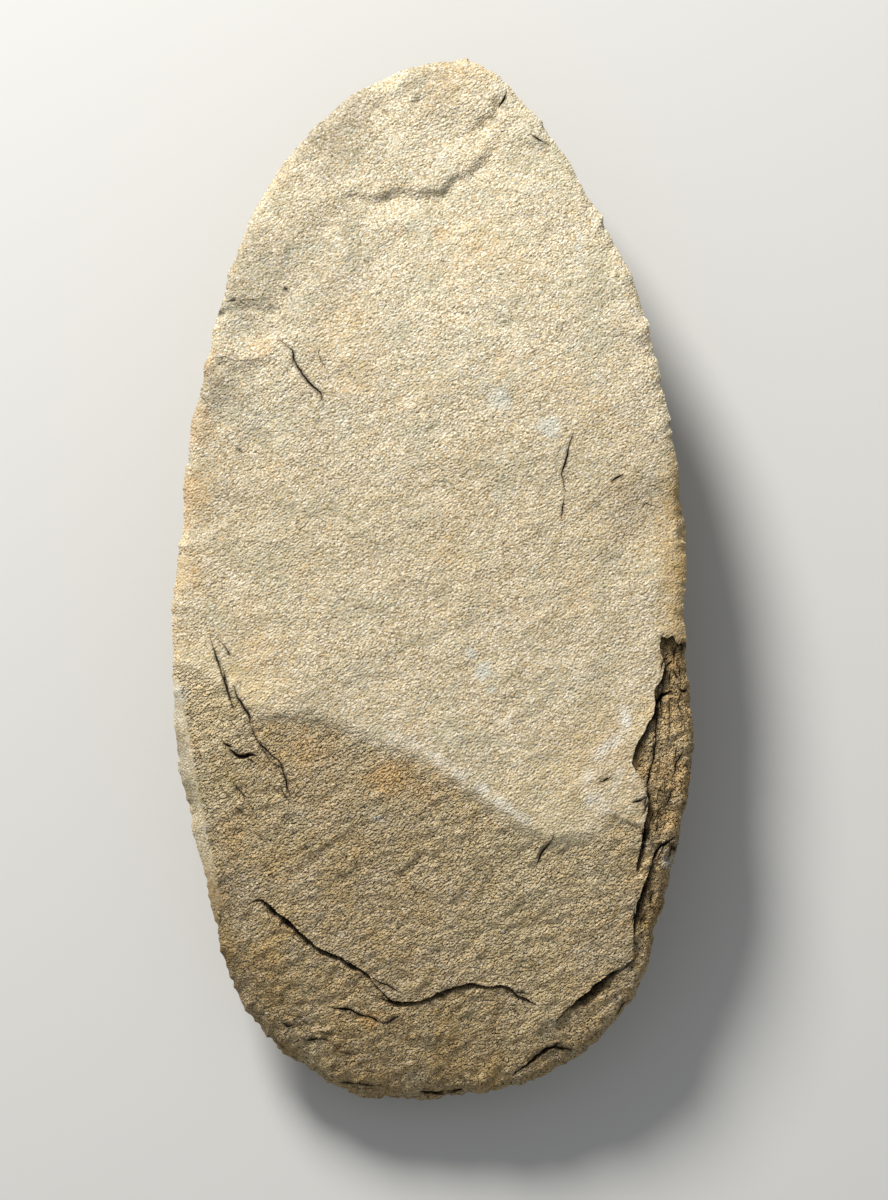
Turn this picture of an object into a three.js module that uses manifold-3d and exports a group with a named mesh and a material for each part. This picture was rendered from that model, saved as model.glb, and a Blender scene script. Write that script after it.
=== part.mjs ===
import * as THREE from "three";
import { mergeVertices } from "three/addons/utils/BufferGeometryUtils.js";
import Module from "manifold-3d";

// Stone celt, chipped from one slab of sandstone that was split along its bedding. It lies on its
// back: the split face looks up (+Z), the narrow butt points to +Y and the broad round bit to -Y.
// A blank with the true outline and section is made first, then each scar is cut out of its face.

// Driving sizes, in millimetres
const LENGTH = 206;
const WIDTH = 102.4;
const THICKNESS = 28;
const CROWN = 0.8;
const RIM_ROLL = 2;
const REST_DEPTH = 1.5;
const FACE_FLAKE_WIDTH = 11;
const FACE_FLAKE_DEPTH = 0.5;
const BACK_FLAKE_WIDTH = 26;
const BACK_FLAKE_DEPTH = 1.8;
const RIM_BITE_DEPTH = 0.6;

const HALF_LENGTH = LENGTH / 2;
const HALF_WIDTH = WIDTH / 2;

// Section. The face is level in the middle, bends down where the butt and the bit begin, once more
// near the cutting edge, and rolls over at the rim. Bends are shares of half the length, slopes are
// falls per length.
const BUTT_BEND = 0.34;
const BUTT_SLOPE = 0.12;
const BIT_BEND = 0.3;
const BIT_SLOPE = 0.12;
const EDGE_BEND = 0.7;
const EDGE_SLOPE = 0.14;
const BEND_SOFTNESS = 0.2;
const ROLL_POWER = 10;
const BACK_POWER = 3;

// Flakes struck from the rim: where their scars begin, as a share of the way out to it, and how
// much they differ from each other
const FACE_FLAKE_START = 0.8;
const BACK_FLAKE_START = 0.4;
const FLAKE_SPREAD = 0.7;
const FACE_SEED = 4127;
const BACK_SEED = 911;

// How finely the skin is divided: round the rim, and from the middle out to it
const SPOKES = 160;
const RINGS = 9;

// How far a scar's cutter runs past the rim, as a share, and how little it takes off the rim itself
const CUTTER_REACH = 1.1;
const CUTTER_BITE = 0.05;

const STONE_COLOUR = 0xbfb092;
const STONE_ROUGHNESS = 0.95;

// The outline seen from above, from the butt round by the right, as shares of half the width and
// half the length. The right flank is fullest low down, and the left flank is the straighter one.
const OUTLINE = [
  [0.131, 1.0], [0.242, 0.971], [0.353, 0.92], [0.495, 0.824], [0.633, 0.71], [0.783, 0.557],
  [0.868, 0.405], [0.929, 0.252], [0.971, 0.077], [0.965, -0.066], [0.982, -0.179], [1.0, -0.326],
  [0.96, -0.452], [0.917, -0.555], [0.856, -0.673], [0.793, -0.778], [0.633, -0.881],
  [0.418, -0.953], [0.111, -0.99], [-0.069, -1.0], [-0.297, -0.99], [-0.447, -0.953],
  [-0.641, -0.881], [-0.779, -0.778], [-0.841, -0.673], [-0.887, -0.555], [-0.937, -0.452],
  [-0.986, -0.326], [-1.0, -0.179], [-0.998, -0.015], [-0.971, 0.077], [-0.944, 0.252],
  [-0.879, 0.405], [-0.806, 0.557], [-0.687, 0.71], [-0.537, 0.824], [-0.349, 0.92],
  [-0.161, 0.971], [-0.012, 0.996],
];

// Scars on the face, where a layer split off and ended in a step. The patch is the line of the
// step and then the corners that close it outside the stone, as shares like the outline. The
// layer was drop millimetres thick at the middle of the step and thickened by fall across and
// along the stone. A scar within another is cut that much below the other's floor, and where two
// scars overlap the lower floor is left.
const BIT_SCAR = {
  patch: [
    [-1.125, -0.11], [-0.837, -0.171], [-0.656, -0.24], [-0.441, -0.236], [-0.276, -0.271],
    [-0.05, -0.318], [0.138, -0.381], [0.326, -0.448], [0.457, -0.477], [0.583, -0.469],
    [0.656, -0.427], [0.718, -0.358], [0.76, -0.301], [0.833, -0.206], [0.868, -0.105],
    [1.102, -0.091], [1.3, -1.3], [-1.3, -1.3],
  ],
  middle: [-0.05, -0.318],
  drop: 0.2,
  fall: [-0.022, -0.055],
};

const BIT_FLAKE = {
  within: BIT_SCAR,
  patch: [
    [-0.875, -0.816], [-0.741, -0.616], [-0.656, -0.606], [-0.53, -0.652], [-0.369, -0.709],
    [-0.196, -0.761], [-0.188, -0.793], [-0.061, -0.799], [0.073, -0.774], [0.192, -0.767],
    [0.296, -0.772], [0.395, -0.805], [0.464, -0.839], [0.557, -0.789], [0.633, -0.757],
    [0.768, -0.719], [1.025, -0.654], [1.3, -1.3], [-0.95, -1.3],
  ],
  middle: [-0.061, -0.799],
  drop: 0.55,
  fall: [0.01, -0.03],
};

const RIGHT_FLAKE = {
  within: BIT_SCAR,
  patch: [
    [1.102, -0.095], [0.975, -0.11], [0.868, -0.105], [0.883, -0.164], [0.852, -0.225],
    [0.81, -0.278], [0.76, -0.333], [0.814, -0.402], [0.81, -0.459], [0.783, -0.52],
    [0.814, -0.568], [0.772, -0.654], [0.768, -0.719], [0.72, -0.86], [1.3, -0.86],
    [1.3, -0.09],
  ],
  middle: [0.81, -0.278],
  drop: 0.65,
  fall: [0.06, -0.005],
};

const LEFT_BEVEL = {
  within: BIT_SCAR,
  patch: [[-1.125, -0.179], [-0.894, -0.179], [-0.741, -0.606], [-0.798, -0.778], [-1.125, -0.778]],
  middle: [-0.875, -0.435],
  drop: 0,
  fall: [-0.5, -0.08],
};

const RIGHT_NICK = {
  patch: [[0.871, 0.218], [1.102, 0.229], [1.102, 0.071], [0.887, 0.081]],
  middle: [0.929, 0.157],
  drop: 0,
  fall: [0.45, -0.02],
};

const FACE_SCARS = [BIT_SCAR, BIT_FLAKE, RIGHT_FLAKE, LEFT_BEVEL, RIGHT_NICK];

const wasm = await Module();
wasm.setup();

// Repeatable random numbers from 0 to 1
function seededNumbers(seed) {
  const multiplier = 16807;
  const modulus = 2147483647;
  let state = seed;
  return () => {
    state = (state * multiplier) % modulus;
    return state / modulus;
  };
}

// A row of flakes side by side, right round the rim, each with its own width and depth
function flakeRow(perimeter, meanWidth, seed) {
  const next = seededNumbers(seed);
  const count = Math.round(perimeter / meanWidth);
  const weights = Array.from({ length: count }, () => 1 + FLAKE_SPREAD * (next() - 0.5));
  const total = weights.reduce((sum, weight) => sum + weight, 0);
  let end = 0;
  return weights.map((weight) => {
    const width = (perimeter * weight) / total;
    end += width;
    return { end, width, depth: 1 - FLAKE_SPREAD * next() };
  });
}

// How deep the row is at a distance round the rim: a hollow for each flake, a ridge between two
function flakeDepth(row, distance) {
  const flake = row.find((item) => distance <= item.end) ?? row[0];
  const along = 1 - (2 * (flake.end - distance)) / flake.width;
  return flake.depth * Math.max(0, 1 - along * along);
}

// The outline filled out to exactly the stated width and length, about the origin
function fitted(points) {
  const box = new THREE.Box3().setFromPoints(points);
  const centre = box.getCenter(new THREE.Vector3());
  const size = box.getSize(new THREE.Vector3());
  return points.map((point) => new THREE.Vector3(
    ((point.x - centre.x) * WIDTH) / size.x,
    ((point.y - centre.y) * LENGTH) / size.y,
    0,
  ));
}

// The rim as seen from above, each point with how deeply it is flaked on the face and the back
function chippedRim() {
  const control = OUTLINE.map(([x, y]) => new THREE.Vector3(x * HALF_WIDTH, y * HALF_LENGTH, 0));
  const curve = new THREE.CatmullRomCurve3(control, true, "centripetal");
  const perimeter = curve.getLength();
  const faceRow = flakeRow(perimeter, FACE_FLAKE_WIDTH, FACE_SEED);
  const backRow = flakeRow(perimeter, BACK_FLAKE_WIDTH, BACK_SEED);
  const shares = Array.from({ length: SPOKES }, (_, i) => i / SPOKES);
  const points = shares.map((share) => {
    const tangent = curve.getTangentAt(share);
    const inward = new THREE.Vector3(tangent.y, -tangent.x, 0);
    const bite = RIM_BITE_DEPTH * flakeDepth(faceRow, share * perimeter);
    return curve.getPointAt(share).addScaledVector(inward, bite);
  });
  return fitted(points).map((point, i) => ({
    x: point.x,
    y: point.y,
    face: flakeDepth(faceRow, shares[i] * perimeter),
    back: flakeDepth(backRow, shares[i] * perimeter),
  }));
}

// A level line that bends down softly after its start
function bend(distance, start) {
  const past = Math.max(0, distance - start);
  return past < BEND_SOFTNESS ? past ** 2 / (2 * BEND_SOFTNESS) : past - BEND_SOFTNESS / 2;
}

// The unscarred face, at a share of the way from the middle out to a rim point
function faceHeight(rim, share) {
  const across = (rim.x * share) / HALF_WIDTH;
  const along = (rim.y * share) / HALF_LENGTH;
  const fall = BUTT_SLOPE * bend(along, BUTT_BEND) + BIT_SLOPE * bend(-along, BIT_BEND)
    + EDGE_SLOPE * bend(-along, EDGE_BEND);
  const inFlake = Math.max(0, (Math.min(share, 1) - FACE_FLAKE_START) / (1 - FACE_FLAKE_START));
  return THICKNESS - fall * HALF_LENGTH - CROWN * across ** 2 - RIM_ROLL * share ** ROLL_POWER
    - FACE_FLAKE_DEPTH * rim.face * inFlake ** 2;
}

function layerThickness(scar, x, y) {
  return scar.drop + scar.fall[0] * (x - scar.middle[0] * HALF_WIDTH)
    + scar.fall[1] * (y - scar.middle[1] * HALF_LENGTH);
}

// The floor of a scar, under any scar that it lies within
function floorHeight(scar, rim, share) {
  const [x, y] = [rim.x * share, rim.y * share];
  const outer = scar.within ? Math.max(0, layerThickness(scar.within, x, y)) : 0;
  return faceHeight(rim, share) - outer - layerThickness(scar, x, y);
}

function isInside(patch, x, y) {
  return patch.reduce((inside, [endX, endY], i) => {
    const [startX, startY] = patch[(i + patch.length - 1) % patch.length];
    const [x1, y1] = [startX * HALF_WIDTH, startY * HALF_LENGTH];
    const [x2, y2] = [endX * HALF_WIDTH, endY * HALF_LENGTH];
    const crosses = (y1 > y) !== (y2 > y) && x < x1 + ((x2 - x1) * (y - y1)) / (y2 - y1);
    return crosses ? !inside : inside;
  }, false);
}

// The rim is where the lowest scar there meets the back
function rimHeight(rim) {
  const scars = FACE_SCARS.filter((scar) => isInside(scar.patch, rim.x, rim.y));
  return Math.min(faceHeight(rim, 1), ...scars.map((scar) => floorHeight(scar, rim, 1)));
}

function backHeight(rim, share) {
  const edge = rimHeight(rim);
  const inFlake = (share - BACK_FLAKE_START) / (1 - BACK_FLAKE_START);
  const hollow = Math.sin(Math.PI * Math.max(0, inFlake));
  return edge - (edge + REST_DEPTH) * (1 - share ** BACK_POWER)
    + BACK_FLAKE_DEPTH * rim.back * hollow;
}

// The rings of the skin, closer together towards the rim
const SKIN_SHARES = Array.from({ length: RINGS + 1 }, (_, i) => Math.sin((Math.PI / 2) * (i / RINGS)));

// A closed body between two height functions, with a ring at each share of the way to the rim.
// A sphere gives the mesh: its poles are the middles of the two sides and its equator the last ring.
function body(rims, shares, top, bottom) {
  const rings = 2 * (shares.length - 1);
  const sphere = new THREE.SphereGeometry(1, SPOKES, rings);
  const { position, uv } = sphere.attributes;
  for (let i = 0; i < position.count; i += 1) {
    const rim = rims[(SPOKES - Math.round(uv.getX(i) * SPOKES)) % SPOKES];
    const ring = Math.round((1 - uv.getY(i)) * rings);
    const share = shares[Math.min(ring, rings - ring)];
    const height = ring < rings / 2 ? top : bottom;
    position.setXYZ(i, rim.x * share, rim.y * share, height(rim, share));
  }
  return sphere;
}

// A mesh with its shared points merged, as a solid to cut
function solid(geometry) {
  const bare = geometry.clone();
  bare.deleteAttribute("normal");
  bare.deleteAttribute("uv");
  const merged = mergeVertices(bare, 1e-4);
  return new wasm.Manifold(new wasm.Mesh({
    numProp: 3,
    vertProperties: new Float32Array(merged.attributes.position.array),
    triVerts: new Uint32Array(merged.index.array),
  }));
}

function geometryOf(manifold) {
  const mesh = manifold.getMesh();
  const geometry = new THREE.BufferGeometry();
  geometry.setAttribute("position", new THREE.BufferAttribute(mesh.vertProperties, mesh.numProp));
  geometry.setIndex(new THREE.BufferAttribute(mesh.triVerts, 1));
  geometry.computeVertexNormals();
  return geometry;
}

// All that lies over a scar's floor, inside its patch
function scarCutter(rims, scar) {
  const floor = (rim, share) => floorHeight(scar, rim, share) - CUTTER_BITE * share ** ROLL_POWER;
  const above = body(rims, [...SKIN_SHARES, CUTTER_REACH], () => THICKNESS * 2, floor);
  const patch = new THREE.Shape(scar.patch.map(
    ([x, y]) => new THREE.Vector2(x * HALF_WIDTH, y * HALF_LENGTH),
  ));
  const prism = new THREE.ExtrudeGeometry(patch, { depth: THICKNESS * 4, bevelEnabled: false });
  prism.translate(0, 0, -THICKNESS);
  return solid(above).intersect(solid(prism));
}

// All that lies under the flat on the back, which the stone rests on
function restCutter() {
  const ground = new THREE.BoxGeometry(WIDTH, LENGTH, THICKNESS);
  ground.translate(0, 0, -THICKNESS / 2);
  return solid(ground);
}

function celt() {
  const rims = chippedRim();
  let stone = solid(body(rims, SKIN_SHARES, faceHeight, backHeight));
  for (const scar of FACE_SCARS) {
    stone = stone.subtract(scarCutter(rims, scar));
  }
  stone = stone.subtract(restCutter());
  const sandstone = new THREE.MeshStandardMaterial({
    color: STONE_COLOUR,
    roughness: STONE_ROUGHNESS,
    metalness: 0,
    flatShading: true,
  });
  const mesh = new THREE.Mesh(geometryOf(stone), sandstone);
  mesh.name = "celt";
  return mesh;
}

const group = new THREE.Group();
group.add(celt());

export default group;
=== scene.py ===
"""A stone celt chipped from a split slab of sandstone, lying on its back on a pale table.

The split face looks up, with the narrow butt towards +Y and the broad round bit towards -Y. Its
skin is one closed mesh: a fine upper sheet for the face, with its scars, cracks and grain, and a
coarser lower sheet for the flaked back. Shapes are worked out in millimetres and places on the
stone are shares of half its width and half its length, measured from its middle.
"""

import math
from dataclasses import dataclass

import bpy
import numpy as np
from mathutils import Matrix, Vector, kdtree, noise
from mathutils.geometry import delaunay_2d_cdt


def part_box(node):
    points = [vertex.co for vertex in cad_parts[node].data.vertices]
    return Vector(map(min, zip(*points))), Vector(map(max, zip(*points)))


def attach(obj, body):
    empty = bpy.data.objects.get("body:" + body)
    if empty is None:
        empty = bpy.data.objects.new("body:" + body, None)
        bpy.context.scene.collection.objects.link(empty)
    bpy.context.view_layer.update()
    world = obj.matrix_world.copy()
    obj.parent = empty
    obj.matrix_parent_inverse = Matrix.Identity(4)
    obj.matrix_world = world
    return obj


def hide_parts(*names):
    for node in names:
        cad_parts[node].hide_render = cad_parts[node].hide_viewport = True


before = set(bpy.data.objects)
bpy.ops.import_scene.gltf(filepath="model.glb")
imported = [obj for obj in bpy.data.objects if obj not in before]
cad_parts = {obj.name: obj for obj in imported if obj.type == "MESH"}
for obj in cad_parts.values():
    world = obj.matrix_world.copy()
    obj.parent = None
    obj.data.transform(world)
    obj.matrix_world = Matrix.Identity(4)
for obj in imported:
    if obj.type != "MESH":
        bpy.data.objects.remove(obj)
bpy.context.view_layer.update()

METRES = 0.001
# Keeps a length that is divided by off zero
TINY = 1e-6

# The block that the stone fills, in millimetres
LOW, HIGH = (np.array(corner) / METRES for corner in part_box("celt"))
MIDDLE = (LOW + HIGH) / 2
HALF_WIDTH, HALF_LENGTH = (HIGH - LOW)[:2] / 2
THICKNESS = HIGH[2]

# Section. The face is level in the middle, bends down where the butt and the bit begin, once more
# near the cutting edge, and rolls over at the rim. The back is a low dome with a flat to rest on.
# Spans run to the left or towards the bit, as shares of half the width or half the length.
CROWN = 0.8
BUTT_BEND, BUTT_SLOPE = 0.34, 0.12
BIT_BEND, BIT_SLOPE = 0.3, 0.12
EDGE_BEND, EDGE_SLOPE = 0.7, 0.07
BEND_SOFTNESS = 0.2
BUTT_ROLL, BIT_ROLL, ROLL_REACH = 0.4, 1.2, 2.2
ROLL_SPAN = (-0.9, 0.7)
# Low on the left the face also falls away in a broad shoulder
SHOULDER_DEPTH, SHOULDER_REACH = 2.3, 13
SHOULDER_ACROSS, SHOULDER_ALONG = (-0.3, 0.1), (0.3, 0.6)
BACK_POWER = 3
REST_DEPTH = 1.5

# The outline from the butt round by the right
OUTLINE = [
    (0.131, 1.0), (0.242, 0.971), (0.353, 0.92), (0.495, 0.824), (0.633, 0.71), (0.783, 0.557),
    (0.868, 0.405), (0.929, 0.252), (0.971, 0.077), (0.965, -0.066), (0.982, -0.179),
    (1.0, -0.326), (0.96, -0.452), (0.917, -0.555), (0.856, -0.673), (0.793, -0.778),
    (0.633, -0.881), (0.418, -0.953), (0.111, -0.99), (-0.069, -1.0), (-0.297, -0.99),
    (-0.447, -0.953), (-0.641, -0.881), (-0.779, -0.778), (-0.841, -0.673), (-0.887, -0.555),
    (-0.937, -0.452), (-0.986, -0.326), (-1.0, -0.179), (-0.998, -0.015), (-0.971, 0.077),
    (-0.944, 0.252), (-0.879, 0.405), (-0.806, 0.557), (-0.687, 0.71), (-0.537, 0.824),
    (-0.349, 0.92), (-0.161, 0.971), (-0.012, 0.996),
]
RIM_STEP = 0.5
# The edge is more jagged round the bit: by how much, and over which span
RAGGEDNESS, RAGGED_SPAN = 0.7, (0.1, 0.9)
# The rim's height without its fine relief is averaged along this length of it
RIM_LEVEL_LENGTH = 10

# Spacing of the skin's points, and what they keep clear of lines and of the rim
FACE_STEP = 0.53
BACK_STEP = 1.05
LINE_STEP = 0.45
LINE_CLEARANCE = 0.3
RIM_CLEARANCE = 0.45
# How far points are nudged off their rows and kept from the rim, as shares of their spacing
NUDGE, RIM_MARGIN, BACK_MARGIN = 0.28, 0.6, 0.5
FACE_POINTS_SEED, BACK_POINTS_SEED = 11, 12
# Lines beside a crack: the least distance of its lips, how far past an open step's foot the other
# lip is, and the share of its distance that a point must keep at a sharp turn
NARROWEST_LIP, LIP_MARGIN, KEPT_SHARE = 0.08, 0.1, 0.93
PROBE_DISTANCE = 0.8
MERGE_DISTANCE = 1e-5
SHARP_ANGLE = math.radians(48)


@dataclass
class FlakeRow:
    """Flakes side by side right round the rim: their mean width, spread, bite and scar."""
    width: float
    spread: float
    seed: int
    bite: float
    start: float = 0.0
    depth: float = 0.0


# On the face, from broad thinning flakes to the fine retouch of the edge. Start is a distance in
# from the rim, where the scar runs out.
FACE_ROWS = [
    FlakeRow(width=11, spread=0.7, seed=4127, bite=0.6, start=10, depth=0.5),
    FlakeRow(width=4.6, spread=0.9, seed=577, bite=0.22, start=3.5, depth=0.3),
    FlakeRow(width=2.3, spread=1.0, seed=8089, bite=0.34, start=1.6, depth=0.26),
]

# On the back, the large flakes that shaped it and two rows that trimmed its edge
BACK_ROWS = [
    FlakeRow(width=26, spread=0.7, seed=911, bite=0, start=30, depth=1.8),
    FlakeRow(width=12, spread=0.8, seed=3203, bite=0, start=14, depth=1.5),
    FlakeRow(width=5, spread=0.9, seed=1553, bite=0, start=6, depth=0.8),
]

# How wide the slope of an open step is
STEP_WALL = 0.14
# A step that is closed to less than this width slopes down softly instead
CLOSED_STEP = 0.2
# How far the bottom of an open step reaches in under the layer above, as a share of its width
STEP_TUCK = 0.75


@dataclass
class Scar:
    """Where a layer of the face split off and ended in a step.

    The edge is the line of the step, each point with the width of the crack open at its foot, and
    the corners close its patch outside the stone. The layer is drop thick at the middle point and
    thickens by fall across and along the stone. A scar within another is cut below its floor.
    Where the step is closed, it slopes down over the distance of its wall.
    """
    edge: list
    corners: list
    middle: tuple
    drop: float
    fall: tuple
    wall: float = STEP_WALL
    within: object = None
    roughness: float = 0.0
    weathering_and_shade: float = 0.0


BIT_SCAR = Scar(
    edge=[
        (-1.125, -0.110, 0), (-0.837, -0.171, 0), (-0.656, -0.240, 0), (-0.441, -0.236, 0),
        (-0.276, -0.271, 0), (-0.157, -0.303, 0), (-0.050, -0.318, 0), (0.138, -0.381, 0),
        (0.207, -0.402, 0), (0.326, -0.448, 0), (0.457, -0.477, 0), (0.583, -0.469, 0),
        (0.656, -0.427, 0), (0.718, -0.358, 0), (0.760, -0.301, 0), (0.833, -0.206, 0),
        (0.868, -0.105, 0), (1.102, -0.091, 0),
    ],
    corners=[(1.3, -1.3), (-1.3, -1.3)],
    middle=(-0.05, -0.318),
    drop=0.2,
    fall=(-0.024, -0.055),
    wall=2.8,
    roughness=0.7,
    weathering_and_shade=0.5,
)

BIT_FLAKE = Scar(
    edge=[
        (-0.875, -0.816, 0), (-0.741, -0.616, 0), (-0.656, -0.604, 0.6), (-0.626, -0.616, 1.2),
        (-0.587, -0.633, 1.6), (-0.549, -0.646, 1.4), (-0.511, -0.667, 1.6), (-0.476, -0.681, 1.3),
        (-0.434, -0.698, 1.6), (-0.388, -0.709, 1.2), (-0.349, -0.715, 0.9), (-0.330, -0.725, 1.2),
        (-0.280, -0.736, 0.9), (-0.253, -0.747, 0.6), (-0.226, -0.765, 0.3), (-0.195, -0.785, 0.3),
        (-0.161, -0.798, 0.7), (-0.119, -0.803, 1.0), (-0.088, -0.801, 0.9),
        (-0.050, -0.801, 0.6), (-0.019, -0.793, 0.7), (0.008, -0.787, 1.0), (0.046, -0.780, 1.1),
        (0.073, -0.774, 1.1), (0.111, -0.768, 0.9), (0.138, -0.765, 1.2), (0.157, -0.766, 0.9),
        (0.180, -0.769, 0.9), (0.219, -0.772, 0.5), (0.257, -0.768, 0.8), (0.292, -0.772, 0.6),
        (0.311, -0.780, 0.5), (0.326, -0.789, 0.7), (0.357, -0.793, 0.5), (0.395, -0.805, 0.1),
        (0.430, -0.828, 0), (0.464, -0.841, 0.1), (0.488, -0.828, 0.4), (0.507, -0.818, 0.6),
        (0.537, -0.805, 1.3), (0.572, -0.789, 1.8), (0.603, -0.776, 2.1), (0.641, -0.761, 1.9),
        (0.679, -0.746, 1.4), (0.702, -0.740, 1.2), (0.733, -0.732, 1.0), (0.768, -0.721, 0.5),
        (0.820, -0.700, 0), (1.025, -0.654, 0),
    ],
    corners=[(1.3, -1.3), (-0.95, -1.3)],
    middle=(-0.061, -0.799),
    drop=0.35,
    fall=(0.003, -0.02),
    wall=6,
    within=BIT_SCAR,
    roughness=0.8,
    weathering_and_shade=0.6,
)

RIGHT_FLAKE = Scar(
    edge=[
        (1.102, -0.095, 0), (0.982, -0.128, 0.3), (0.960, -0.112, 0.5), (0.935, -0.118, 0.3),
        (0.912, -0.101, 0.5), (0.892, -0.108, 0.3), (0.872, -0.104, 0.3), (0.864, -0.133, 0.1),
        (0.885, -0.160, 0.3), (0.871, -0.187, 0.9), (0.852, -0.198, 0.5), (0.845, -0.212, 0.3),
        (0.850, -0.232, 0.7), (0.837, -0.255, 1.0), (0.806, -0.281, 1.3), (0.782, -0.303, 0.9),
        (0.768, -0.322, 0.7), (0.760, -0.343, 0.3), (0.775, -0.365, 0), (0.810, -0.395, 0),
        (0.825, -0.415, 0.4), (0.812, -0.446, 0.9), (0.802, -0.472, 1.1), (0.787, -0.519, 0.8),
        (0.777, -0.545, 0.3), (0.790, -0.552, 0), (0.825, -0.530, 0), (0.837, -0.532, 0.5),
        (0.821, -0.559, 0.8), (0.802, -0.580, 1.1), (0.782, -0.610, 1.3), (0.772, -0.632, 0.9),
        (0.768, -0.654, 0.4), (0.768, -0.719, 0),
        (0.720, -0.860, 0),
    ],
    corners=[(1.3, -0.86), (1.3, -0.09)],
    middle=(0.81, -0.278),
    drop=0.2,
    fall=(0.016, -0.002),
    wall=0.5,
    within=BIT_SCAR,
    roughness=1.05,
    weathering_and_shade=0.7,
)

LEFT_BEVEL = Scar(
    edge=[(-1.125, -0.179, 0), (-0.900, -0.179, 0), (-0.800, -0.560, 0), (-0.840, -0.700, 0)],
    corners=[(-1.125, -0.700)],
    middle=(-0.906, -0.339),
    drop=0.0,
    fall=(-0.45, -0.083),
    within=BIT_SCAR,
    roughness=-0.6,
    weathering_and_shade=0.1,
)

RIGHT_NICK = Scar(
    edge=[(0.871, 0.218, 0), (0.887, 0.081, 0)],
    corners=[(1.102, 0.071), (1.102, 0.229)],
    middle=(0.929, 0.157),
    drop=0.0,
    fall=(0.45, -0.02),
    roughness=0.4,
    weathering_and_shade=0.4,
)

SCARS = [BIT_SCAR, BIT_FLAKE, RIGHT_FLAKE, LEFT_BEVEL, RIGHT_NICK]

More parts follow.
